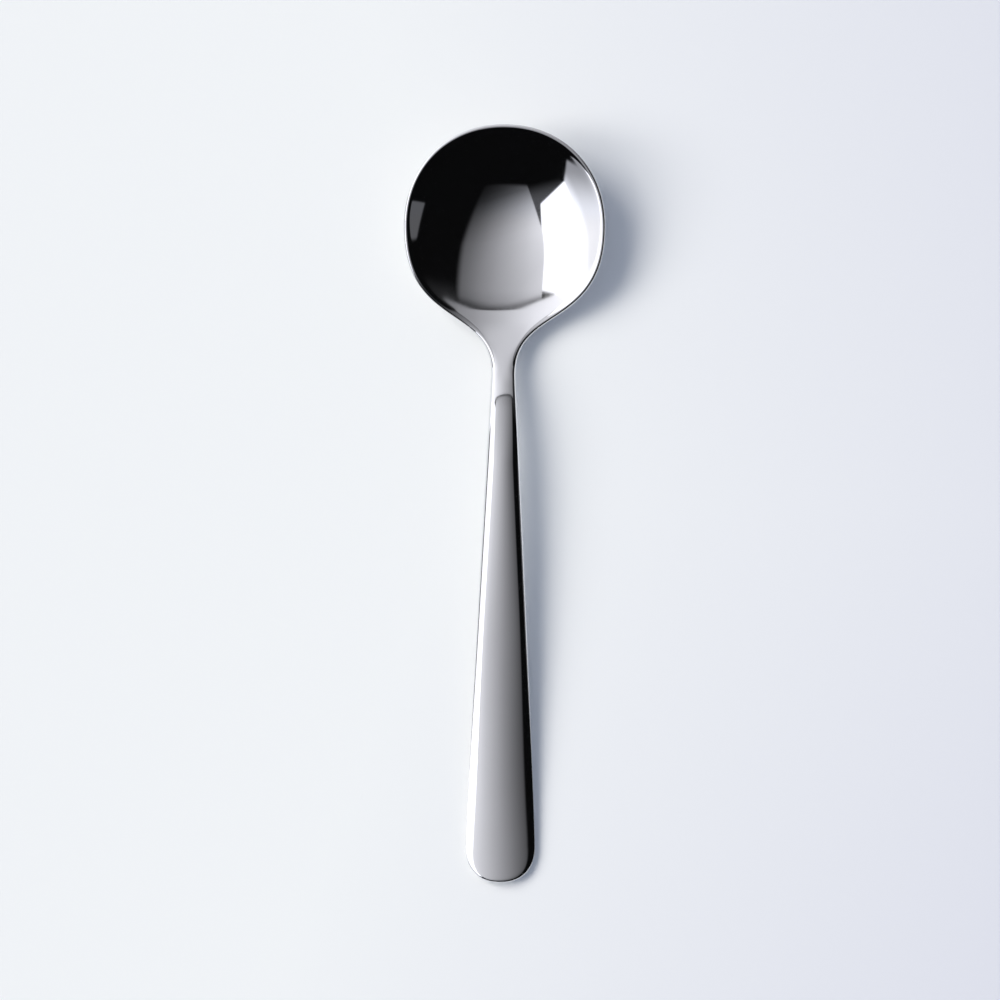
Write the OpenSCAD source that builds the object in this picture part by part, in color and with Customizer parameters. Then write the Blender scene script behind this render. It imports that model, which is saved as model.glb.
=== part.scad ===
// Round soup spoon of polished steel, lying at rest on a table.
// +X is across the spoon, +Y runs from the end of the handle to the tip of the bowl, +Z is up.
// The origin is on the table, below the middle of the spoon's length and width.
// The steel is one unbroken sweep: bowl, neck and handle share the sections where they meet.

/* [Overall] */
// Length from the tip of the bowl to the end of the handle
overall_length = 175; // [160:1:190]

/* [Bowl] */
// Width across the rim at its widest row
bowl_width = 46.3; // [42:0.1:52]
// Distance from the widest row forward to the tip
bowl_front = 23.35; // [21:0.05:26]
// Fullness of the rounded tip, where 2 is an ellipse
bowl_fullness = 2.1; // [2:0.05:2.5]
// Radius of the dish, at the middle of the steel's thickness
bowl_radius = 36.5; // [35:0.5:42]
// Distance from the widest row back to the lowest point of the dish
bowl_low = 3.5; // [2:0.1:6]
// Thickness of the dished steel, which also rounds the rim
bowl_thickness = 1.4; // [1.2:0.1:2]

/* [Heel and neck] */
// Length over which the rim keeps its width before it draws in at the heel
heel_hold = 24.1; // [21:0.1:27]
// Length over which the edges of the neck run straight before the heel opens
neck_hold = 17; // [15:0.1:19]
// Distance from the widest row back to the narrowest place of the neck
neck_reach = 34.7; // [33:0.1:38]
// Width of the neck at its narrowest place
neck_width = 5.8; // [5:0.1:8]
// Thickness of the neck
neck_thickness = 3.4; // [2.8:0.1:4.2]
// Width of the rounding along the edges of the neck
neck_edge = 0.8; // [0.6:0.1:1.4]
// Share of the half thickness that the crowned upper side loses from the middle to the edge of the neck
neck_crown = 0.36; // [0:0.02:0.5]

/* [Handle] */
// Width of the handle where its rounded end begins
handle_width = 15.95; // [13:0.05:19]
// Thickness of the handle at its end
handle_thickness = 2.5; // [2:0.1:3.2]
// Widening of each edge per length as the handle leaves the neck
handle_flare = 0.049; // [0.03:0.001:0.07]
// Distance from the widest row back to the crest, where the handle is highest
crest_reach = 54.4; // [50:0.2:62]
// Height that the middle of the steel gains from the lowest point of the bowl to the crest
crest_rise = 5.9; // [4.5:0.1:9]
// Distance from the widest row back to where the fall of the handle would level out, past its end
fall_reach = 160; // [155:1:200]
// Length of the rounded end
end_length = 8.4; // [6:0.1:11]
// Fullness of the rounded end, where 2 is an ellipse
end_fullness = 2.3; // [2:0.05:2.8]
// Width of the rounding along the edges of the handle
handle_edge = 1.4; // [1:0.1:2.4]
// Width of the rounding at the very end of the handle
end_edge = 0.3; // [0.2:0.1:1.8]
// Share of the half thickness that the crowned upper side loses at the edges of the crest
crest_crown = 0.5; // [0.3:0.02:0.7]
// The same share towards the end of the handle
end_crown = 0.88; // [0.5:0.02:0.9]

/* [Hidden] */

steel = [0.80, 0.81, 0.82];

// Steps across the flat of a section and across each rounded edge
flat_steps = 10;
edge_steps = 4;
// Steps along the heel and the handle, and how many of each lie before the neck begins and ends
heel_steps = 20;
bowl_heel_steps = 13;
handle_steps = 30;
neck_handle_steps = 5;
// Steps along the rounded end at which its rest on the table is looked for
rest_steps = 50;
// Distance over which slopes are taken
probe = 0.01;
// Largest share of a half section that its rounded edge takes
widest_rounding = 0.6;

// Lengths below are taken back from the widest row of the bowl, which lies at this Y
widest_y = overall_length / 2 - bowl_front;
spoon_end = overall_length - bowl_front;
end_start = spoon_end - end_length;

// Lengths over which the handle's edges run straight as they leave the neck and as they reach the end
handle_lead = 40;
handle_hold = 6;

// Share of its roundness that the dish keeps from the lowest point back to the heel
heel_share = 0.64;
// Stretch over which the dish flattens out, and over which thin steel becomes thick
dish_fade_start = 20;
dish_fade_end = 44;
thicken_start = 19;
thicken_end = 39.5;

// Stretches over which the upper side takes on its crown at the neck, at the crest and towards the end
neck_crown_stretch = [26, 34];
crest_crown_stretch = [36, 56];
end_crown_stretch = [88, 138];

// Half thickness and edge rounding at the bowl, the neck and the end of the handle
bowl_steel = [bowl_thickness / 2, bowl_thickness / 2];
neck_steel = [neck_thickness / 2, neck_edge];
handle_steel = [handle_thickness / 2, handle_edge];

function smooth(t) = let (u = max(0, min(1, t))) u * u * (3 - 2 * u);
function mix(a, b, t) = a + (b - a) * t;
function curve(t, p) = pow(1 - t, 3) * p[0] + 3 * pow(1 - t, 2) * t * p[1]
    + 3 * (1 - t) * t * t * p[2] + pow(t, 3) * p[3];
function curve_rate(t, p) = 3 * pow(1 - t, 2) * (p[1] - p[0]) + 6 * (1 - t) * t * (p[2] - p[1])
    + 3 * t * t * (p[3] - p[2]);

// Edge of the plan outline from the widest row to the neck, as [distance back, half width]
heel_pulls = [
    [0, bowl_width / 2],
    [heel_hold, bowl_width / 2],
    [neck_reach - neck_hold, neck_width / 2 - handle_flare * neck_hold],
    [neck_reach, neck_width / 2]
];
// Edge of the plan outline from the neck to the rounded end
handle_pulls = [
    [neck_reach, neck_width / 2],
    [neck_reach + handle_lead, neck_width / 2 + handle_flare * handle_lead],
    [end_start - handle_hold, handle_width / 2],
    [end_start, handle_width / 2]
];

// Thickness along the spoon, as [half thickness, edge rounding] at a distance back
function steel_at(back) = back < thicken_end
    ? mix(bowl_steel, neck_steel, smooth((back - thicken_start) / (thicken_end - thicken_start)))
    : mix(neck_steel, handle_steel, smooth((back - thicken_end) / (end_start - thicken_end)));

// Share of its half thickness that the upper side loses from the middle to the outline
function share_along(back, stretch) = smooth((back - stretch[0]) / (stretch[1] - stretch[0]));
function crown_at(back) = neck_crown * share_along(back, neck_crown_stretch)
    + (crest_crown - neck_crown) * share_along(back, crest_crown_stretch)
    + (end_crown - crest_crown) * share_along(back, end_crown_stretch);

// Half thickness of a section at edge, which is 0 on the middle line and 1 on the outline
function half_at(half, rounding, half_width, edge) = half * sqrt(1 - pow(edge, 2 * half_width / rounding));

// Width of the edge rounding around the rounded end of the handle, tighter towards the very end
function end_rounding(turn) = mix(handle_edge, end_edge, turn);

// Side profile of the middle line: the dish, a climb to the crest, and a fall to the table.
// The fall is the largest at which the underside of the rounded end only just touches the table.
low_height = bowl_thickness / 2;
crest_height = low_height + crest_rise;
function fall_share(back) = smooth((back - crest_reach) / (fall_reach - crest_reach));
crest_fall = min([for (turn = [0:1 / rest_steps:1])
    let (half = half_at(handle_thickness / 2, end_rounding(turn), handle_width / 2, turn))
    (crest_height - half) / fall_share(end_start + end_length * turn)]);
function line_height(back) = back < bowl_low
    ? low_height + bowl_radius - sqrt(pow(bowl_radius, 2) - pow(back - bowl_low, 2))
    : low_height + crest_rise * smooth((back - bowl_low) / (crest_reach - bowl_low))
        - crest_fall * fall_share(back);

// Height of the middle of the steel: the side profile, and across it the arc of the dish
function dish_height(across, back) =
    let (fade = 1 - smooth((back - dish_fade_start) / (dish_fade_end - dish_fade_start)))
    let (reach = min(back, dish_fade_end) - bowl_low)
    let (arc = sqrt(pow(bowl_radius, 2) - pow(reach < 0 ? reach : heel_share * reach, 2)))
    fade > 0 ? fade * (arc - sqrt(arc * arc - across * across)) : 0;
function middle(across, back) = line_height(back) + dish_height(across, back);
function facing(across, back) =
    let (rise_x = (middle(across + probe, back) - middle(across - probe, back)) / (2 * probe))
    let (rise_b = (middle(across, back + probe) - middle(across, back - probe)) / (2 * probe))
    [-rise_x, -rise_b, 1] / norm([rise_x, rise_b, 1]);

// A row of a surface: [distance back, half width, edge rounding seen across, turn into a rounded end].
// The turn is 0 on a straight row, and runs to -1 at the bowl's tip and to 1 at the handle's end.
function front_row(turn) = [0, bowl_width / 2, bowl_thickness / 2, -turn];
function end_row(turn) = [end_start, handle_width / 2, end_rounding(turn), turn];
function edge_row(pulls, t) =
    let (place = curve(t, pulls))
    let (rate = curve_rate(t, pulls))
    [place[0], place[1], steel_at(place[0])[1] * norm(rate) / rate[0], 0];

// Places across a section, from 0 on the middle line to 1 on the outline, closer along the rounding
function spread(rounding) = concat(
    [for (i = [0:flat_steps]) (1 - rounding) * i / flat_steps],
    [for (i = [1:edge_steps]) 1 - rounding * (1 - sin(90 * i / edge_steps))]);
function reversed(list) = [for (i = [len(list) - 1:-1:0]) list[i]];
function across_places(row) =
    let (half = spread(min(widest_rounding, row[2] / row[1])))
    concat([for (i = [len(half) - 1:-1:1]) -half[i]], half);

// A point of the upper (side 1) or lower (side -1) surface
function surface_point(row, place, side) =
    let (power = row[3] < 0 ? bowl_fullness : end_fullness)
    let (turn = pow(abs(row[3]), power))
    let (reach = row[3] < 0 ? -bowl_front : end_length)
    let (aside = pow(abs(place), power))
    let (across = row[1] * place * pow(1 - turn / 2, 1 / power))
    let (back = row[0] + reach * abs(row[3]) * pow(1 - aside / 2, 1 / power))
    let (edge = min(1, pow(1 - (1 - aside) * (1 - turn), 1 / power)))
    let (crown = side > 0 ? 1 - crown_at(back) * pow(across / row[1], 2) : 1)
    let (half = crown * half_at(steel_at(back)[0], row[2], row[1], edge))
    let (normal = facing(across, back))
    [across + side * half * normal[0],
        widest_y - back - side * half * normal[1],
        middle(across, back) + side * half * normal[2]];

// Solid between the upper and lower surfaces of a list of rows.
// The outline is shared by both surfaces, also along a first or last row that is a rounded end.
module sweep(rows, tip = false, end = false) {
    places = [for (row = rows) across_places(row)];
    columns = len(places[0]);
    last_row = len(rows) - 1;
    last_column = columns - 1;
    upper_points = [for (i = [0:last_row]) for (place = places[i]) surface_point(rows[i], place, 1)];
    lower_points = [for (i = [0:last_row]) for (place = places[i]) surface_point(rows[i], place, -1)];

    shared = function (i, j) j == 0 || j == last_column || (tip && i == 0) || (end && i == last_row);
    upper = function (i, j) i * columns + j;
    lower = function (i, j) upper(i, j) + (shared(i, j) ? 0 : len(upper_points));

    // A square of a surface, halved along the diagonal that starts from the outline's corners
    square = function (at, i, j)
        let (a = at(i, j), b = at(i, j + 1), c = at(i + 1, j + 1), d = at(i + 1, j))
        (j < last_column / 2) != end ? [[a, b, c], [a, c, d]] : [[a, b, d], [b, c, d]];
    skin = function (at) [for (i = [0:last_row - 1]) for (j = [0:last_column - 1]) each square(at, i, j)];

    // The cut face of a row, as a strip between its upper and lower points
    strip = function (i, j) [
        [upper(i, j), lower(i, j), lower(i, j + 1)],
        [upper(i, j), lower(i, j + 1), upper(i, j + 1)]
    ];
    cut = function (i) concat(
        [[upper(i, 0), lower(i, 1), upper(i, 1)]],
        [for (j = [1:last_column - 2]) each strip(i, j)],
        [[upper(i, last_column - 1), lower(i, last_column - 1), upper(i, last_column)]]);

    polyhedron(concat(upper_points, lower_points), concat(
        skin(upper),
        [for (face = skin(lower)) reversed(face)],
        tip ? [] : cut(0),
        end ? [] : [for (face = cut(last_row)) reversed(face)]));
}

// Turns of the rows around the tip of the bowl and around the end of the handle
tip_turns = reversed(spread(bowl_thickness / bowl_width));
end_turns = spread(handle_edge / (handle_width / 2));

module bowl() {
    color(steel) sweep(concat(
        [for (turn = tip_turns) front_row(turn)],
        [for (i = [1:bowl_heel_steps]) edge_row(heel_pulls, i / heel_steps)]), tip = true);
}

module neck() {
    color(steel) sweep(concat(
        [for (i = [bowl_heel_steps:heel_steps]) edge_row(heel_pulls, i / heel_steps)],
        [for (i = [1:neck_handle_steps]) edge_row(handle_pulls, i / handle_steps)]));
}

module handle() {
    color(steel) sweep(concat(
        [for (i = [neck_handle_steps:handle_steps]) edge_row(handle_pulls, i / handle_steps)],
        [for (i = [1:len(end_turns) - 1]) end_row(end_turns[i])]), end = true);
}

bowl();
neck();
handle();
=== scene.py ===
"""A round soup spoon of mirror-polished steel, lying on a pale table under studio light."""

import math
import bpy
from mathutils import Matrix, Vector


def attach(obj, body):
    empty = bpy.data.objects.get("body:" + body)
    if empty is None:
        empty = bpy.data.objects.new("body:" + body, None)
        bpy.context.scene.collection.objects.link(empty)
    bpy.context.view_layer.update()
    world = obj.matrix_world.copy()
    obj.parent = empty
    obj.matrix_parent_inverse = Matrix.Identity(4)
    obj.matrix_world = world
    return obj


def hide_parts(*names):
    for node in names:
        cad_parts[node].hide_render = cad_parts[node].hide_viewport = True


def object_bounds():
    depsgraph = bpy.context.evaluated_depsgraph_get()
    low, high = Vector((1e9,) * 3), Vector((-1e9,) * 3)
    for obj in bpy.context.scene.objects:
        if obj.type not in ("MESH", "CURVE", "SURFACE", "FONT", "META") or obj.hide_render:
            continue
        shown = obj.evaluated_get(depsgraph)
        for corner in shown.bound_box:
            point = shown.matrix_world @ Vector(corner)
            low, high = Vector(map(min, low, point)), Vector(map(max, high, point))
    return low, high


bl_info = {
    "name": "Soup spoon",
    "version": (1, 0, 0),
    "blender": (4, 5, 0),
    "location": "3D View > Sidebar > Spoon",
    "description": "Models a round soup spoon in polished steel and the studio that lights it",
    "category": "Add Mesh",
}

import bpy
import numpy as np
from bpy.props import FloatProperty, FloatVectorProperty, PointerProperty

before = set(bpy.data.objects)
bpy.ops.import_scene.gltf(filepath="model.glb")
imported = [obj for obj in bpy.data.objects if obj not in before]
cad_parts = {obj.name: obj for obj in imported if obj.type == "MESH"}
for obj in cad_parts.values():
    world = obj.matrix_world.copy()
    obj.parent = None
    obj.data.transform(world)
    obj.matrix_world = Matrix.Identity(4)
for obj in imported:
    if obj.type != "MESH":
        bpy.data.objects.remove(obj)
CAD_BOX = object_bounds()

BODY = "root"

# Lengths over which the handle's edges run straight as they leave the neck and as they reach the end
HANDLE_LEAD = 0.040
HANDLE_HOLD = 0.006
# Share of its roundness that the dish keeps from its lowest point back to the heel
HEEL_SHARE = 0.64
# Stretch over which the dish flattens out, and over which thin steel becomes thick
DISH_FADE = (0.020, 0.044)
THICKEN = (0.019, 0.0395)
# Stretches over which the upper side takes on its crown at the neck, at the crest and towards the end
CROWN_STAGES = ((0.026, 0.034), (0.036, 0.056), (0.088, 0.138))
# Where the neck begins along the heel's edge and ends along the handle's edge, as shares of those edges
NECK_START = 0.65
NECK_END = 5 / 30
# Largest share of a half section that its rounded edge takes
WIDEST_ROUNDING = 0.6
# Distance over which slopes are taken, and within which points of the outline count as one
PROBE = 1e-5
WELD = 1e-7
# Edges sharper than this stay sharp
SMOOTH_ANGLE = math.radians(60)
# Steps of the surfaces: across half a section, flat and along its rounded edge, and rows along each stretch
BOWL_STEPS = (70, 12)
NECK_STEPS = (30, 12)
HANDLE_STEPS = (30, 14)
END_STEPS = (24, 14)
HEEL_ROWS = 81
NECK_ROWS = 61
SHANK_ROWS = 181
# Places along the rounded end at which its height above the table is worked out
END_PLACES = 51

# Lines per metre across, along and through the steel, for buffing and for scratches, and the scratches' turns
BUFFING_LINES = (7000.0, 70.0, 900.0)
SCRATCH_LINES = (2600.0, 90.0, 90.0)
SCRATCH_TURNS = (0.35, -0.6, 1.2)
# Where in their noise smears begin and are full, and how near the outline the rim is worn
SMEAR_SPAN = (0.45, 0.75)
WORN_SPAN = (0.975, 1.0)
# What buffing lines, smears, scratches and the worn rim add to the roughness
ROUGHNESS_GAINS = (0.03, 0.02, 0.10, 0.05)
# How far scratches and smears turn the steel to its dull colour
SCRATCH_DULLING = 0.25
SMEAR_DULLING = 0.12
DULL_STEEL = (0.70, 0.705, 0.71, 1)
# Height of the waves in the polish in metres, and of lines and scratches as shares of it
WAVE_HEIGHT = 0.00002
LINE_HEIGHT = 0.02
SCRATCH_DEPTH = 0.05

# The table, and the painted shade that darkens its colour: to the right, towards both ends, and less to the
# back than to the front
TABLE_SIZE = 8
TABLE_ROUGHNESS = 0.9
PAINTED_SHADE_ASIDE = 0.28
PAINTED_SHADE_BACK = -0.10
PAINTED_SHADE_SPAN = (-0.01, 0.20)
# Place above which the camera stands, its turn, and the width of its sensor in millimetres
CAMERA_MIDDLE = (-0.00063, 0.00115)
CAMERA_TURN = math.radians(0.39)
SENSOR_WIDTH = 36


def length(label, text, size):
    """A size in metres for the sidebar."""
    return FloatProperty(name=label, description=text, default=size, min=0.0, precision=5, unit="LENGTH")


def share(label, text, size, most=1.0):
    """A plain number for the sidebar."""
    return FloatProperty(name=label, description=text, default=size, min=0.0, max=most, precision=3)


def tint(label, text, colour):
    """A colour for the sidebar."""
    return FloatVectorProperty(
        name=label, description=text, default=colour, size=3, min=0.0, max=1.0, subtype="COLOR")


class SpoonSizes(bpy.types.PropertyGroup):
    """Sizes of the spoon's steel"""

    overall_length: length("Overall length", "From the tip of the bowl to the end of the handle", 0.175)
    bowl_width: length("Bowl width", "Across the rim at its widest row", 0.0463)
    bowl_front: length("Bowl front", "From the widest row forward to the tip", 0.02335)
    bowl_fullness: share("Bowl fullness", "Fullness of the rounded tip, where 2 is an ellipse", 2.1, 4.0)
    bowl_radius: length("Bowl radius", "Radius of the dish at the middle of the steel", 0.0365)
    bowl_low: length("Bowl low point", "From the widest row back to the lowest point of the dish", 0.0035)
    bowl_thickness: length("Bowl thickness", "Thickness of the dished steel", 0.0014)
    heel_hold: length("Heel hold", "Over which the rim keeps its width before it draws in", 0.0241)
    neck_hold: length("Neck hold", "Over which the neck's edges run straight before the heel opens", 0.017)
    neck_reach: length("Neck reach", "From the widest row back to the narrowest place", 0.0347)
    neck_width: length("Neck width", "At the narrowest place of the neck", 0.0058)
    neck_thickness: length("Neck thickness", "Thickness of the neck", 0.0034)
    neck_edge: length("Neck edge", "Width of the rounding along the edges of the neck", 0.0008)
    handle_width: length("Handle width", "Where the rounded end begins", 0.01595)
    handle_thickness: length("Handle thickness", "At the end of the handle", 0.0025)
    handle_flare: share("Handle flare", "Widening of each edge per length behind the neck", 0.049)
    crest_reach: length("Crest reach", "From the widest row back to the highest place of the handle", 0.0544)
    crest_rise: length("Crest rise", "Height from the lowest point of the bowl to the crest", 0.0059)
    fall_reach: length("Fall reach", "From the widest row back to where the fall would level out", 0.160)
    end_length: length("End length", "Length of the rounded end", 0.0084)
    end_fullness: share("End fullness", "Fullness of the rounded end, where 2 is an ellipse", 2.3, 4.0)
    handle_edge: length("Handle edge", "Width of the rounding along the edges of the handle", 0.0014)
    end_edge: length("End edge", "Width of the rounding at the very end of the handle", 0.0003)
    neck_crown: share("Neck crown", "Share of the half thickness that the upper side loses at the edge", 0.36)
    crest_crown: share("Crest crown", "The same share at the crest", 0.50)
    end_crown: share("End crown", "The same share towards the end", 0.88)


class SpoonLook(bpy.types.PropertyGroup):
    """Finish of the steel, and the studio around it"""

    steel: tint("Steel", "Colour of the polished steel", (0.80, 0.805, 0.815))
    gloss: share("Roughness", "Roughness of the polish where it is best", 0.03)
    table: tint("Table", "Colour of the table at the left", (0.873, 0.901, 0.938))
    # Painted shade: the darker table colour at the right stands in for the fall-off of the light from the
    # left
    table_shade_painted: tint("Table, far from the light", "Colour of the table at the right", (0.690, 0.712, 0.818))
    backdrop: tint("Backdrop", "Colour behind the table", (0.86, 0.885, 0.93))
    lamp_level: share("Lamps", "Brightness of the soft lamps that light the table", 1.0, 5.0)
    fill_level: share("Fill", "Brightness of the even light around the lamps", 0.365, 5.0)
    spill_level: share("Spill", "Brightness of what the steel throws on the table", 0.15, 5.0)
    key_level: share("Key light", "Brightness of the large light at the left", 1.6, 20.0)
    canopy_level: share("Canopy", "Brightness of the cloth overhead", 0.96, 10.0)
    wall_level: share("Back wall", "Brightness of the wall behind the bowl", 1.0, 10.0)
    camera_height: length("Camera height", "Height of the camera above the table", 1.6)
    view_width: length("View width", "Width of the table that the picture takes in", 0.2319)


def smooth(t):
    """An even rise from 0 to 1 with level ends."""
    u = np.clip(t, 0.0, 1.0)
    return u * u * (3 - 2 * u)


def curve(t, pulls):
    """Places along a curve with four pull points."""
    t = np.asarray(t)[:, None]
    p = np.asarray(pulls)
    return (1 - t) ** 3 * p[0] + 3 * (1 - t) ** 2 * t * p[1] + 3 * (1 - t) * t * t * p[2] + t ** 3 * p[3]


def curve_rate(t, pulls):
    """Direction of such a curve."""
    t = np.asarray(t)[:, None]
    p = np.asarray(pulls)
    return 3 * (1 - t) ** 2 * (p[1] - p[0]) + 6 * (1 - t) * t * (p[2] - p[1]) + 3 * t * t * (p[3] - p[2])


def end_start(s):
    """Distance back from the widest row to where the rounded end of the handle begins."""
    return s.overall_length - s.bowl_front - s.end_length


def heel_pulls(s):
    """Edge of the outline from the widest row to the neck, as distance back and half width."""
    return [
        (0, s.bowl_width / 2),
        (s.heel_hold, s.bowl_width / 2),
        (s.neck_reach - s.neck_hold, s.neck_width / 2 - s.handle_flare * s.neck_hold),
        (s.neck_reach, s.neck_width / 2),
    ]


def handle_pulls(s):
    """Edge of the outline from the neck to the rounded end."""
    return [
        (s.neck_reach, s.neck_width / 2),
        (s.neck_reach + HANDLE_LEAD, s.neck_width / 2 + s.handle_flare * HANDLE_LEAD),
        (end_start(s) - HANDLE_HOLD, s.handle_width / 2),
        (end_start(s), s.handle_width / 2),
    ]


def steel_at(s, back):
    """Half thickness and edge rounding at a distance back from the widest row."""
    bowl = np.array([s.bowl_thickness / 2, s.bowl_thickness / 2])
    neck = np.array([s.neck_thickness / 2, s.neck_edge])
    handle = np.array([s.handle_thickness / 2, s.handle_edge])
    to_neck = smooth((back - THICKEN[0]) / (THICKEN[1] - THICKEN[0]))[..., None]
    to_end = smooth((back - THICKEN[1]) / (end_start(s) - THICKEN[1]))[..., None]
    return bowl + (neck - bowl) * to_neck + (handle - neck) * to_end


def crown_at(s, back):
    """Share of its half thickness that the upper side loses from the middle to the outline."""
    shares = (s.neck_crown, s.crest_crown - s.neck_crown, s.end_crown - s.crest_crown)
    return sum(
        gain * smooth((back - start) / (end - start)) for gain, (start, end) in zip(shares, CROWN_STAGES))


def half_at(half, rounding, half_width, edge):
    """Half thickness of a section at edge, which is 0 on the middle line and 1 on the outline."""
    return half * np.sqrt(np.maximum(0.0, 1 - edge ** (2 * half_width / rounding)))


def fall_share(s, back):
    """Share of the handle's fall from the crest to the table."""
    return smooth((back - s.crest_reach) / (s.fall_reach - s.crest_reach))


def end_rounding(s, turn):
    """Width of the edge rounding around the rounded end, tighter towards the very end."""
    return s.handle_edge + (s.end_edge - s.handle_edge) * turn


def crest_fall(s):
    """The largest fall at which the underside of the rounded end only just touches the table."""
    turn = np.linspace(0, 1, END_PLACES)
    half = half_at(s.handle_thickness / 2, end_rounding(s, turn), s.handle_width / 2, turn)
    crest = s.bowl_thickness / 2 + s.crest_rise
    return np.min((crest - half) / fall_share(s, end_start(s) + s.end_length * turn))


def middle(s, fall, across, back):
    """Height of the middle of the steel: the side profile, and across it the arc of the dish."""
    ahead = np.minimum(back - s.bowl_low, 0)
    climb = smooth((back - s.bowl_low) / (s.crest_reach - s.bowl_low))
    profile = s.bowl_thickness / 2 + s.bowl_radius - np.sqrt(s.bowl_radius ** 2 - ahead ** 2)
    profile = profile + s.crest_rise * climb - fall * fall_share(s, back)
    fade = 1 - smooth((back - DISH_FADE[0]) / (DISH_FADE[1] - DISH_FADE[0]))
    reach = np.minimum(back, DISH_FADE[1]) - s.bowl_low
    arc = np.sqrt(s.bowl_radius ** 2 - np.where(reach < 0, reach, HEEL_SHARE * reach) ** 2)
    dish = arc - np.sqrt(np.maximum(arc ** 2 - across ** 2, 0))
    return profile + fade * dish


def facing(s, fall, across, back):
    """Direction square to the middle of the steel."""
    rise_x = (middle(s, fall, across + PROBE, back) - middle(s, fall, across - PROBE, back)) / (2 * PROBE)
    rise_b = (middle(s, fall, across, back + PROBE) - middle(s, fall, across, back - PROBE)) / (2 * PROBE)
    normal = np.stack([-rise_x, rise_b, np.ones_like(rise_x)], axis=-1)
    return normal / np.linalg.norm(normal, axis=-1, keepdims=True)


def spread(rounding, flat_steps, edge_steps):
    """Places from 0 on the middle line to 1 on the outline, closer along the rounding."""
    flat = (1 - rounding) * np.arange(flat_steps) / flat_steps
    turn = np.sin(math.pi / 2 * np.arange(edge_steps + 1) / edge_steps)
    return np.concatenate([flat, 1 - rounding * (1 - turn)])


def edge_rows(s, pulls, t):
    """Rows along an edge: distance back, half width, edge rounding seen across, and no turn."""
    place = curve(t, pulls)
    rate = curve_rate(t, pulls)
    rounding = steel_at(s, place[:, 0])[:, 1] * np.hypot(rate[:, 0], rate[:, 1]) / rate[:, 0]
    return np.column_stack([place, rounding, np.zeros(len(place))])


def turn_rows(back, half_width, rounding, turns):
    """Rows around a rounded end: the turn runs to -1 at the bowl's tip and to 1 at the handle's end."""
    ones = np.ones(len(turns))
    return np.column_stack([back * ones, half_width * ones, rounding * ones, turns])


def surface(s, rows, places, side):
    """Points of the upper (side 1) or lower (side -1) surface, and how close each is to the outline."""
    fall = crest_fall(s)
    start, half_width, rounding, turn = (rows[:, [i]] for i in range(4))
    power = np.where(turn < 0, s.bowl_fullness, s.end_fullness)
    reach = np.where(turn < 0, -s.bowl_front, s.end_length)
    turned = np.abs(turn) ** power
    aside = np.abs(places) ** power
    across = half_width * places * (1 - turned / 2) ** (1 / power)
    back = start + reach * np.abs(turn) * (1 - aside / 2) ** (1 / power)
    edge = np.minimum(1, (1 - (1 - aside) * (1 - turned)) ** (1 / power))
    half = half_at(steel_at(s, back)[..., 0], rounding, half_width, edge)
    if side > 0:
        half = half * (1 - crown_at(s, back) * (across / half_width) ** 2)
    widest = s.overall_length / 2 - s.bowl_front
    centre = np.stack([across, widest - back, middle(s, fall, across, back)], axis=-1)
    return centre + side * half[..., None] * facing(s, fall, across, back), edge


def flat_pair(name, columns, rows):
    """Two flat grids, one on the other: the first faces up, and its double, left selected, faces down."""
    bpy.ops.object.select_all(action="DESELECT")
    bpy.ops.mesh.primitive_grid_add(x_subdivisions=columns, y_subdivisions=rows, size=2)
    piece = bpy.context.object
    piece.name = piece.data.name = name
    bpy.ops.object.mode_set(mode="EDIT")
    bpy.ops.mesh.duplicate()
    bpy.ops.mesh.flip_normals()
    bpy.ops.object.mode_set(mode="OBJECT")
    return piece


def shape_pair(piece, s, rows, flat_steps, edge_steps):
    """Moves the points of both grids to the upper and lower surfaces of the steel."""
    mesh = piece.data
    half = [spread(min(WIDEST_ROUNDING, row[2] / row[1]), flat_steps, edge_steps) for row in rows]
    places = np.array([np.concatenate([-line[:0:-1], line]) for line in half])
    upper, edge = surface(s, rows, places, 1)
    lower, _ = surface(s, rows, places, -1)
    flat = np.empty(len(mesh.vertices) * 3)
    is_lower = np.empty(len(mesh.vertices), dtype=bool)
    mesh.vertices.foreach_get("co", flat)
    mesh.vertices.foreach_get("select", is_lower)
    flat = flat.reshape(-1, 3)
    i = np.rint((1 - flat[:, 1]) / 2 * (len(rows) - 1)).astype(int)
    j = np.rint((flat[:, 0] + 1) / 2 * (places.shape[1] - 1)).astype(int)
    points = np.where(is_lower[:, None], lower[i, j], upper[i, j])
    mesh.vertices.foreach_set("co", np.clip(points, *CAD_BOX).ravel())
    rim = mesh.attributes.new("rim", "FLOAT", "POINT")
    rim.data.foreach_set("value", edge[i, j])
    mesh.update()


def close_steel(piece):
    """Welds the outline, fills the cut ends, and smooths all but the edges of the cuts."""
    bpy.ops.object.mode_set(mode="EDIT")
    bpy.ops.mesh.select_all(action="SELECT")
    bpy.ops.mesh.remove_doubles(threshold=WELD)
    bpy.ops.mesh.select_all(action="DESELECT")
    bpy.ops.mesh.select_mode(type="EDGE")
    bpy.ops.mesh.select_non_manifold(
        extend=False, use_wire=False, use_boundary=True, use_multi_face=False,
        use_non_contiguous=False, use_verts=False)
    bpy.ops.mesh.fill_holes(sides=0)
    bpy.ops.mesh.select_all(action="SELECT")
    bpy.ops.mesh.normals_make_consistent(inside=False)
    bpy.ops.object.mode_set(mode="OBJECT")
    bpy.ops.object.shade_smooth_by_angle(angle=SMOOTH_ANGLE)


def make_steel(context, node, rows, flat_steps, edge_steps):
    """One section of the spoon, in the place of its CAD node."""
    scene = context.scene
    piece = flat_pair(node + "_steel", 2 * (flat_steps + edge_steps), len(rows) - 1)
    shape_pair(piece, scene.spoon_sizes, rows, flat_steps, edge_steps)
    close_steel(piece)
    piece.data.materials.append(polished_steel(scene.spoon_look))
    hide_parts(node)
    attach(piece, BODY)


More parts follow.
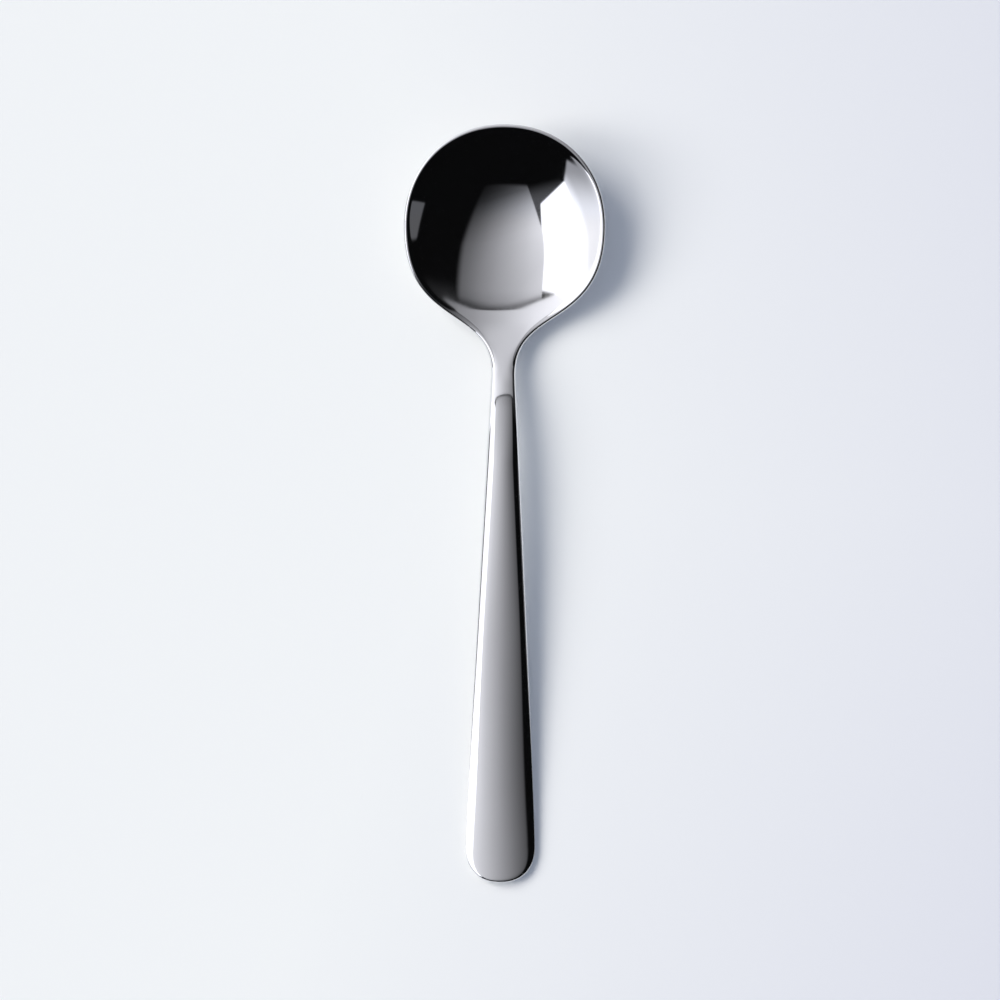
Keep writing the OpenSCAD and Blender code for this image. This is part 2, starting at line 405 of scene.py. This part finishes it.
def add_node(tree, kind, **settings):
    """A node with its settings and the values or links of its inputs."""
    node = tree.nodes.new(kind)
    inputs = settings.pop("inputs", {})
    for key, value in settings.items():
        setattr(node, key, value)
    for key, value in inputs.items():
        if isinstance(value, bpy.types.NodeSocket):
            tree.links.new(value, node.inputs[key])
        else:
            node.inputs[key].default_value = value
    return node


def calculate(tree, operation, a, b=0.0, c=0.0):
    """The result of one step of arithmetic on links or plain values."""
    return add_node(tree, "ShaderNodeMath", operation=operation, inputs={0: a, 1: b, 2: c}).outputs[0]


def times(tree, a, b):
    """The product of two links or plain values."""
    return calculate(tree, "MULTIPLY", a, b)


def mix_colours(tree, factor, first, second):
    """The first colour where the factor is 0, and the second where it is 1."""
    node = add_node(tree, "ShaderNodeMix", data_type="RGBA", inputs={0: factor, 6: first, 7: second})
    return node.outputs[2]


def remap(tree, value, low, high, to_low=0.0, to_high=1.0, kind="SMOOTHSTEP"):
    """A value brought from one range to another, and held at its ends."""
    node = add_node(tree, "ShaderNodeMapRange", interpolation_type=kind)
    for key, given in zip(range(5), (value, low, high, to_low, to_high)):
        if isinstance(given, bpy.types.NodeSocket):
            tree.links.new(given, node.inputs[key])
        else:
            node.inputs[key].default_value = given
    return node.outputs[0]


def new_group(name, inputs, outputs):
    """An empty node group with its sockets, and its two end nodes."""
    group = bpy.data.node_groups.new(name, "ShaderNodeTree")
    for label, kind, value in inputs:
        socket = group.interface.new_socket(label, in_out="INPUT", socket_type=kind)
        if value is not None:
            socket.default_value = value
    for label, kind in outputs:
        group.interface.new_socket(label, in_out="OUTPUT", socket_type=kind)
    return group, group.nodes.new("NodeGroupInput"), group.nodes.new("NodeGroupOutput")


def buffing_group():
    """Fine lines that a buffing wheel leaves, long in one direction."""
    name = "buffing lines"
    if name in bpy.data.node_groups:
        return bpy.data.node_groups[name]
    group, given, result = new_group(name, [
        ("Place", "NodeSocketVector", None),
        ("Lines per metre", "NodeSocketVector", (6000.0, 60.0, 6000.0)),
        ("Turn", "NodeSocketFloat", 0.0),
    ], [("Lines", "NodeSocketFloat")])
    turned = add_node(group, "ShaderNodeVectorRotate", rotation_type="Z_AXIS", inputs={
        "Vector": given.outputs["Place"], "Angle": given.outputs["Turn"]})
    stretched = add_node(group, "ShaderNodeVectorMath", operation="MULTIPLY", inputs={
        0: turned.outputs[0], 1: given.outputs["Lines per metre"]})
    noise = add_node(group, "ShaderNodeTexNoise", inputs={
        "Vector": stretched.outputs[0], "Scale": 1.0, "Detail": 3.0, "Roughness": 0.6})
    group.links.new(noise.outputs[0], result.inputs["Lines"])
    return group


def scratch_group():
    """A few hairline scratches of use, each a thin line that fades in and out."""
    name = "hairline scratches"
    if name in bpy.data.node_groups:
        return bpy.data.node_groups[name]
    group, given, result = new_group(name, [
        ("Place", "NodeSocketVector", None),
        ("Turn", "NodeSocketFloat", 0.0),
        ("Amount", "NodeSocketFloat", 0.5),
    ], [("Scratches", "NodeSocketFloat")])
    lines = add_node(group, "ShaderNodeGroup", node_tree=buffing_group(), inputs={
        "Place": given.outputs["Place"], "Lines per metre": SCRATCH_LINES, "Turn": given.outputs["Turn"]})
    thin = remap(group, lines.outputs[0], 0.70, 0.74)
    patches = add_node(group, "ShaderNodeTexNoise", inputs={
        "Vector": given.outputs["Place"], "Scale": 130.0, "Detail": 2.0})
    where = remap(group, patches.outputs[0], 0.45, 0.7)
    shown = times(group, times(group, thin, where), given.outputs["Amount"])
    group.links.new(shown, result.inputs["Scratches"])
    return group


def steel_marks(tree, place):
    """Masks of the marks on the steel: buffing lines, hairline scratches, smears and the worn rim."""
    lines = add_node(tree, "ShaderNodeGroup", node_tree=buffing_group(), inputs={
        "Place": place, "Lines per metre": BUFFING_LINES}).outputs[0]
    scratches = [add_node(tree, "ShaderNodeGroup", node_tree=scratch_group(), inputs={
        "Place": place, "Turn": turn, "Amount": 1.0}).outputs[0] for turn in SCRATCH_TURNS]
    scratched = calculate(tree, "MAXIMUM", scratches[0], scratches[1])
    scratched = calculate(tree, "MAXIMUM", scratched, scratches[2])
    smears = add_node(tree, "ShaderNodeTexNoise", inputs={
        "Vector": place, "Scale": 55.0, "Detail": 4.0, "Roughness": 0.6, "Distortion": 0.4}).outputs[0]
    rim = add_node(tree, "ShaderNodeAttribute", attribute_name="rim").outputs["Fac"]
    return lines, scratched, remap(tree, smears, *SMEAR_SPAN), remap(tree, rim, *WORN_SPAN)


def polished_steel(look):
    """Mirror-polished steel with buffing lines, hairline scratches, faint smears and a worn rim."""
    name = "mirror polished steel"
    if name in bpy.data.materials:
        return bpy.data.materials[name]
    material = bpy.data.materials.new(name)
    material.use_nodes = True
    tree = material.node_tree
    shader = tree.nodes["Principled BSDF"]
    place = add_node(tree, "ShaderNodeTexCoord").outputs["Object"]
    lines, scratched, smeared, worn = steel_marks(tree, place)
    rough = look.gloss
    for mark, gain in zip((lines, smeared, scratched, worn), ROUGHNESS_GAINS):
        rough = calculate(tree, "MULTIPLY_ADD", mark, gain, rough)
    tree.links.new(rough, shader.inputs["Roughness"])
    dulled = calculate(tree, "MULTIPLY_ADD", scratched, SCRATCH_DULLING, times(tree, smeared, SMEAR_DULLING))
    tree.links.new(mix_colours(tree, dulled, (*look.steel, 1), DULL_STEEL), shader.inputs["Base Color"])
    waves = add_node(tree, "ShaderNodeTexNoise", inputs={
        "Vector": place, "Scale": 90.0, "Detail": 1.0}).outputs[0]
    height = calculate(tree, "MULTIPLY_ADD", lines, LINE_HEIGHT, waves)
    height = calculate(tree, "MULTIPLY_ADD", scratched, -SCRATCH_DEPTH, height)
    bump = add_node(tree, "ShaderNodeBump", inputs={
        "Strength": 0.5, "Distance": WAVE_HEIGHT, "Height": height})
    tree.links.new(bump.outputs[0], shader.inputs["Normal"])
    shader.inputs["Metallic"].default_value = 1.0
    return material


def panel_edge_group():
    """How far a direction lies inside one straight edge of a studio panel."""
    name = "panel edge"
    if name in bpy.data.node_groups:
        return bpy.data.node_groups[name]
    group, given, result = new_group(name, [
        ("Place", "NodeSocketVector", None),
        ("Edge", "NodeSocketVector", (1.0, 0.0, 0.0)),
        ("Softness", "NodeSocketFloat", 0.01),
    ], [("Inside", "NodeSocketFloat")])
    distance = add_node(group, "ShaderNodeVectorMath", operation="DOT_PRODUCT", inputs={
        0: given.outputs["Place"], 1: given.outputs["Edge"]}).outputs["Value"]
    outer = times(group, given.outputs["Softness"], -1.0)
    inside = remap(group, distance, outer, given.outputs["Softness"])
    group.links.new(inside, result.inputs["Inside"])
    return group


def panel(tree, place, corners, closed=True):
    """A panel of the studio from its corners in order, each with the softness of the edge that follows."""
    inside = None
    ends = corners[1:] + corners[:1] if closed else corners[1:]
    for (p, q, soft), (p_next, q_next, _) in zip(corners, ends):
        size = math.hypot(p_next - p, q_next - q)
        a, b = -(q_next - q) / size, (p_next - p) / size
        edge = add_node(tree, "ShaderNodeGroup", node_tree=panel_edge_group(), inputs={
            "Place": place, "Edge": (a, b, -a * p - b * q), "Softness": soft}).outputs[0]
        inside = edge if inside is None else times(tree, inside, edge)
    return inside


def ramp(tree, value, stops):
    """Brightness along a panel: each stop is a place and the brightness there."""
    low, high = stops[0][0], stops[-1][0]
    scaled = remap(tree, value, low, high, kind="LINEAR")
    node = add_node(tree, "ShaderNodeFloatCurve", inputs={"Value": scaled})
    points = node.mapping.curves[0].points
    for i, (at, level) in enumerate(stops):
        spot = ((at - low) / (high - low), level)
        if i < 2:
            points[i].location = spot
        else:
            points.new(*spot)
    for point in points:
        point.handle_type = "VECTOR"
    node.mapping.update()
    return node.outputs[0]


# Corners of the studio's panels. A direction is given by the tilt to the right and to the back that a mirror
# needs to show it from straight above. The third number is the softness of the edge to the next corner.
# The corners run counter-clockwise, with the tilt to the right across and the tilt to the back upwards.
KEY = [(-0.250, 0.144, 0.0015), (-0.40, 0.154, 0.002), (-0.62, 0.176, 0.03), (-0.625, 0.06, 0.02),
       (-0.575, -0.16, 0.03), (-0.462, -0.453, 0.008), (-0.243, -0.246, 0.005), (-0.2425, -0.10, 0.005)]
CANOPY = [(0.371, 0.158, 0.009), (0.03, 0.161, 0.007), (-0.255, 0.150, 0.003), (-0.264, 0.06, 0.004),
          (-0.250, -0.06, 0.005), (-0.157, -0.375, 0.02), (0.16, -0.385, 0.03), (0.20, -0.25, 0.03)]
WALL_FOOT = [(0.41, 0.164, 0.002), (0.12, 0.1675, 0.002), (-0.03, 0.1645, 0.0015), (-0.30, 0.1525, 0.0015)]
STRIP = [(-0.52, 0.15, 0.03), (-0.77, 0.15, 0.02), (-0.77, -0.52, 0.02), (-0.521, -0.66, 0.012),
         (-0.450, -0.44, 0.008)]
SHOULDER = [(-0.625, 0.10, 0.04), (-0.60, -0.16, 0.05), (-0.485, -0.435, 0.05)]
HAZE = [(-0.235, -0.12, 0.01), (-0.455, -0.39, 0.02), (-0.44, -0.415, 0.07), (-0.165, -0.315, 0.012)]
CARD = [(0.618, -0.272, 0.010), (0.92, -0.342, 0.02), (0.95, 0.10, 0.02), (0.675, 0.0, 0.010)]

# Brightness of the cloth overhead, from its left edge (0) to its far edge (1), and from the front to the back
CANOPY_ACROSS = [
    (0.0, 0.78), (0.12, 0.68), (0.21, 0.585), (0.38, 0.44), (0.57, 0.297), (0.74, 0.191), (0.84, 0.140),
    (0.93, 0.105), (0.97, 0.082), (1.0, 0.048), (1.03, 0.018), (1.08, 0.007), (1.2, 0.002)]
CANOPY_DEPTH = [
    (-0.5, 0.0), (-0.42, 0.05), (-0.35, 0.115), (-0.30, 0.20), (-0.24, 0.43), (-0.18, 0.67), (-0.13, 0.82),
    (-0.08, 0.945), (-0.02, 1.03), (0.03, 1.035), (0.1, 0.965), (0.16, 0.88)]
# Tilts at the cloth's left edge and at its far edge, and how the far edge leans and bends towards the back
CANOPY_LEFT = -0.25
CANOPY_FAR = 0.275
FAR_LEAN = 0.48
FAR_BEND = 0.16
# How much the cloth's depth is turned to the left, and the stretch and level of its dim back edge
CANOPY_SKEW = -0.33
BACK_EDGE = (0.13, 0.165, 1.0, 0.78)
# Brightness of the wall from left to right, near its foot and higher up, and where one becomes the other
WALL_NEAR = [
    (-0.7, 1.2), (-0.5, 1.1), (-0.42, 0.95), (-0.3, 0.88), (-0.21, 0.81), (-0.13, 0.70), (-0.05, 0.59),
    (0.02, 0.49), (0.10, 0.40), (0.21, 0.295), (0.35, 0.225), (0.42, 0.215), (0.45, 0.03), (0.7, 0.005)]
WALL_HIGH = [
    (-0.7, 1.2), (-0.5, 1.1), (-0.38, 0.9), (-0.3, 0.80), (-0.15, 0.62), (0.0, 0.565), (0.10, 0.50),
    (0.25, 0.34), (0.42, 0.20), (0.5, 0.08), (0.56, 0.015), (0.7, 0.005)]
WALL_CHANGE = (0.20, 0.25)
# Brightness of the strip from the front to the back, and what its shoulder adds
STRIP_FADE = (-0.60, -0.18, 0.36, 1.06)
SHOULDER_LEVEL = 0.4
# Brightness of the card at the right, of the haze by the key light, and of the dark room from front to back
CARD_LEVEL = 0.11
HAZE_LEVEL = 0.09
DARK_ROOM = (0.12, 0.18, 0.0028, 0.03)
# Soft round lamps that light the table, in the same tilts: middle, reach and brightness
LAMPS = [
    ((-0.394, 0.265, 0.0), 0.167, 7.7),
    ((-0.45, 0.0, 0.0), 0.12, 4.95),
    ((-0.62, -0.03, 0.0), 0.12, 9.85)]
LAMP_EDGE = 0.25
# The lamps are a little warmer than the even light around them, so shadows are bluish
LAMP_TINT = (1.065, 1.01, 0.905, 1)
FILL_TINT = (0.90, 0.985, 1.15, 1)
# What the steel mirrors is bluer to the front than to the back
FRONT_TINT = (0.957, 0.974, 1.060, 1)
BACK_TINT = (0.977, 0.976, 1.037, 1)
TINT_SPAN = (-0.25, -0.10)
WHITE = (1, 1, 1, 1)
# Least height used where a direction points almost straight down
LEAST_HEIGHT = 0.2


def canopy_light(tree, p, q):
    """The cloth overhead: bright beside the key light, darker to the right, the front and its back edge."""
    bend = times(tree, calculate(tree, "ABSOLUTE", q), FAR_BEND)
    far = calculate(tree, "ADD", calculate(tree, "MULTIPLY_ADD", q, FAR_LEAN, CANOPY_FAR), bend)
    width = calculate(tree, "ADD", far, -CANOPY_LEFT)
    reach = calculate(tree, "DIVIDE", calculate(tree, "ADD", p, -CANOPY_LEFT), width)
    across = ramp(tree, reach, CANOPY_ACROSS)
    depth = ramp(tree, calculate(tree, "MULTIPLY_ADD", p, CANOPY_SKEW, q), CANOPY_DEPTH)
    return times(tree, times(tree, across, depth), remap(tree, q, *BACK_EDGE))


def wall_light(tree, place, p, q):
    """The wall behind the bowl: bright to the left near its foot, and even higher up."""
    foot = calculate(tree, "SUBTRACT", 1.0, panel(tree, place, WALL_FOOT, closed=False))
    level = add_node(tree, "ShaderNodeMix", inputs={
        0: remap(tree, q, *WALL_CHANGE), 2: ramp(tree, p, WALL_NEAR), 3: ramp(tree, p, WALL_HIGH)})
    return times(tree, foot, level.outputs[0])


def tilts(tree):
    """The tilt to the right and to the back at which a mirror shows each direction from straight above."""
    sky = add_node(tree, "ShaderNodeTexCoord").outputs["Generated"]
    axes = add_node(tree, "ShaderNodeSeparateXYZ", inputs={0: sky})
    over = calculate(tree, "MAXIMUM", calculate(tree, "ADD", axes.outputs[2], 1.0), LEAST_HEIGHT)
    return [calculate(tree, "DIVIDE", axes.outputs[i], over) for i in range(2)]


def studio_light(tree, look, p, q):
    """Brightness of the studio in the steel: key light, cloth overhead, back wall, strip, haze and card."""
    place = add_node(tree, "ShaderNodeCombineXYZ", inputs={0: p, 1: q, 2: 1.0}).outputs[0]
    cover = panel(tree, place, CANOPY)
    # The cloth and the wall are given as bright as the steel shows them, so its own colour is divided out
    canopy = times(tree, canopy_light(tree, p, q), look.canopy_level / look.steel[1])
    canopy = times(tree, canopy, cover)
    wall = times(tree, wall_light(tree, place, p, q), look.wall_level / look.steel[1])
    beside = times(tree, panel(tree, place, KEY), calculate(tree, "SUBTRACT", 1.0, cover))
    key = times(tree, beside, look.key_level)
    shoulder = panel(tree, place, SHOULDER, closed=False)
    even = calculate(tree, "MULTIPLY_ADD", shoulder, SHOULDER_LEVEL, remap(tree, q, *STRIP_FADE))
    strip = times(tree, panel(tree, place, STRIP), even)
    card = times(tree, panel(tree, place, CARD), CARD_LEVEL)
    haze = times(tree, panel(tree, place, HAZE), HAZE_LEVEL)
    dim = calculate(tree, "ADD", calculate(tree, "MAXIMUM", card, haze), remap(tree, q, *DARK_ROOM))
    bright = calculate(tree, "MAXIMUM", key, strip)
    total = calculate(tree, "ADD", calculate(tree, "ADD", canopy, wall), bright)
    return calculate(tree, "MAXIMUM", total, dim)


def table_light(tree, look, p, q):
    """Brightness of the three soft lamps that light the table."""
    place = add_node(tree, "ShaderNodeCombineXYZ", inputs={0: p, 1: q}).outputs[0]
    total = 0.0
    for centre, reach, level in LAMPS:
        away = add_node(tree, "ShaderNodeVectorMath", operation="DISTANCE", inputs={
            0: place, 1: centre}).outputs["Value"]
        inner, outer = (1 - LAMP_EDGE) * reach, (1 + LAMP_EDGE) * reach
        lamp = remap(tree, away, inner, outer, level * look.lamp_level, 0.0, kind="LINEAR")
        total = calculate(tree, "ADD", lamp, total)
    return total


def background(tree, colour, strength):
    """One light of the world."""
    return add_node(tree, "ShaderNodeBackground", inputs={"Color": colour, "Strength": strength}).outputs[0]


def either(tree, factor, first, second):
    """The first shader where the factor is 0, and the second where it is 1."""
    return add_node(tree, "ShaderNodeMixShader", inputs={0: factor, 1: first, 2: second}).outputs[0]


def light_studio(look):
    """The world: the studio for light and reflections, and a plain pale backdrop for the camera."""
    world = bpy.data.worlds.new("studio")
    bpy.context.scene.world = world
    world.use_nodes = True
    tree = world.node_tree
    tree.nodes.clear()
    p, q = tilts(tree)
    tinge = mix_colours(tree, remap(tree, q, *TINT_SPAN), FRONT_TINT, BACK_TINT)
    shown = background(tree, tinge, studio_light(tree, look, p, q))
    lamps = background(tree, LAMP_TINT, table_light(tree, look, p, q))
    fill = background(tree, FILL_TINT, look.fill_level)
    light = add_node(tree, "ShaderNodeAddShader", inputs={0: lamps, 1: fill}).outputs[0]
    plain = background(tree, (*look.backdrop, 1), 1.0)
    spill = background(tree, WHITE, look.spill_level)
    ray = add_node(tree, "ShaderNodeLightPath").outputs
    thrown = either(tree, calculate(tree, "MINIMUM", ray["Diffuse Depth"], 1.0), shown, spill)
    mirrored = either(tree, ray["Is Glossy Ray"], light, thrown)
    seen = either(tree, ray["Is Camera Ray"], mirrored, plain)
    add_node(tree, "ShaderNodeOutputWorld", inputs={0: seen})


def lay_table(look):
    """A wide pale table top, whose colour is darkened a little away from the lamps by painted shade."""
    bpy.ops.object.select_all(action="DESELECT")
    bpy.ops.mesh.primitive_plane_add(size=TABLE_SIZE)
    table = bpy.context.object
    table.name = table.data.name = "table"
    material = bpy.data.materials.new("pale table")
    material.use_nodes = True
    tree = material.node_tree
    shader = tree.nodes["Principled BSDF"]
    place = add_node(tree, "ShaderNodeTexCoord").outputs["Object"]
    x, y = add_node(tree, "ShaderNodeSeparateXYZ", inputs={0: place}).outputs[:2]
    # Painted shade: the colour darkens to the right and towards both ends, standing in for the fall-off of
    # the lamps' light
    aside = calculate(tree, "MULTIPLY_ADD", calculate(tree, "ABSOLUTE", y), PAINTED_SHADE_ASIDE, x)
    away = calculate(tree, "MULTIPLY_ADD", y, PAINTED_SHADE_BACK, aside)
    fade = remap(tree, away, *PAINTED_SHADE_SPAN, kind="LINEAR")
    colour = mix_colours(tree, fade, (*look.table, 1), (*look.table_shade_painted, 1))
    tree.links.new(colour, shader.inputs["Base Color"])
    shader.inputs["Roughness"].default_value = TABLE_ROUGHNESS
    shader.inputs["Specular IOR Level"].default_value = 0.0
    table.data.materials.append(material)


def place_camera(look):
    """A camera straight above the spoon, turned a little so that the spoon leans as it lies."""
    data = bpy.data.cameras.new("camera")
    camera = bpy.data.objects.new("camera", data)
    bpy.context.collection.objects.link(camera)
    camera.location = (*CAMERA_MIDDLE, look.camera_height)
    camera.rotation_euler = (0, 0, CAMERA_TURN)
    data.sensor_width = SENSOR_WIDTH
    data.lens = SENSOR_WIDTH * look.camera_height / look.view_width
    data.clip_start = 0.01
    bpy.context.scene.camera = camera


class SPOON_OT_bowl(bpy.types.Operator):
    """Model the round dished bowl"""

    bl_idname = "spoon.bowl"
    bl_label = "Bowl"

    def execute(self, context):
        s = context.scene.spoon_sizes
        turns = -spread(s.bowl_thickness / s.bowl_width, *BOWL_STEPS)[::-1]
        front = turn_rows(0, s.bowl_width / 2, s.bowl_thickness / 2, turns)
        heel = edge_rows(s, heel_pulls(s), np.linspace(0, NECK_START, HEEL_ROWS)[1:])
        make_steel(context, "bowl", np.concatenate([front, heel]), *BOWL_STEPS)
        return {"FINISHED"}


class SPOON_OT_neck(bpy.types.Operator):
    """Model the slim neck between the bowl and the handle"""

    bl_idname = "spoon.neck"
    bl_label = "Neck"

    def execute(self, context):
        s = context.scene.spoon_sizes
        heel = edge_rows(s, heel_pulls(s), np.linspace(NECK_START, 1, NECK_ROWS))
        lead = edge_rows(s, handle_pulls(s), np.linspace(0, NECK_END, NECK_ROWS)[1:])
        make_steel(context, "neck", np.concatenate([heel, lead]), *NECK_STEPS)
        return {"FINISHED"}


class SPOON_OT_handle(bpy.types.Operator):
    """Model the arched handle with its rounded end"""

    bl_idname = "spoon.handle"
    bl_label = "Handle"

    def execute(self, context):
        s = context.scene.spoon_sizes
        shank = edge_rows(s, handle_pulls(s), np.linspace(NECK_END, 1, SHANK_ROWS))
        turns = spread(2 * s.handle_edge / s.handle_width, *END_STEPS)[1:]
        end = turn_rows(end_start(s), s.handle_width / 2, end_rounding(s, turns), turns)
        make_steel(context, "handle", np.concatenate([shank, end]), *HANDLE_STEPS)
        return {"FINISHED"}


class SPOON_OT_stage(bpy.types.Operator):
    """Lay the table, light the studio and set the camera"""

    bl_idname = "spoon.stage"
    bl_label = "Stage"

    def execute(self, context):
        look = context.scene.spoon_look
        lay_table(look)
        light_studio(look)
        place_camera(look)
        context.scene.view_settings.view_transform = "Standard"
        return {"FINISHED"}


class SPOON_PT_panel(bpy.types.Panel):
    """Lists the spoon's pieces, sizes and colours"""

    bl_label = "Soup spoon"
    bl_idname = "SPOON_PT_panel"
    bl_space_type = "VIEW_3D"
    bl_region_type = "UI"
    bl_category = "Spoon"

    def draw(self, context):
        layout = self.layout
        for operator in OPERATORS:
            layout.operator(operator.bl_idname)
        for group in (context.scene.spoon_sizes, context.scene.spoon_look):
            box = layout.box()
            for name in group.__annotations__:
                box.prop(group, name)


OPERATORS = (SPOON_OT_bowl, SPOON_OT_neck, SPOON_OT_handle, SPOON_OT_stage)
CLASSES = (SpoonSizes, SpoonLook) + OPERATORS + (SPOON_PT_panel,)


def register():
    for part in CLASSES:
        bpy.utils.register_class(part)
    bpy.types.Scene.spoon_sizes = PointerProperty(type=SpoonSizes)
    bpy.types.Scene.spoon_look = PointerProperty(type=SpoonLook)


def unregister():
    del bpy.types.Scene.spoon_look
    del bpy.types.Scene.spoon_sizes
    for part in reversed(CLASSES):
        bpy.utils.unregister_class(part)


def main():
    register()
    bpy.ops.spoon.bowl()
    bpy.ops.spoon.neck()
    bpy.ops.spoon.handle()
    bpy.ops.spoon.stage()


if __name__ == "__main__":
    main()
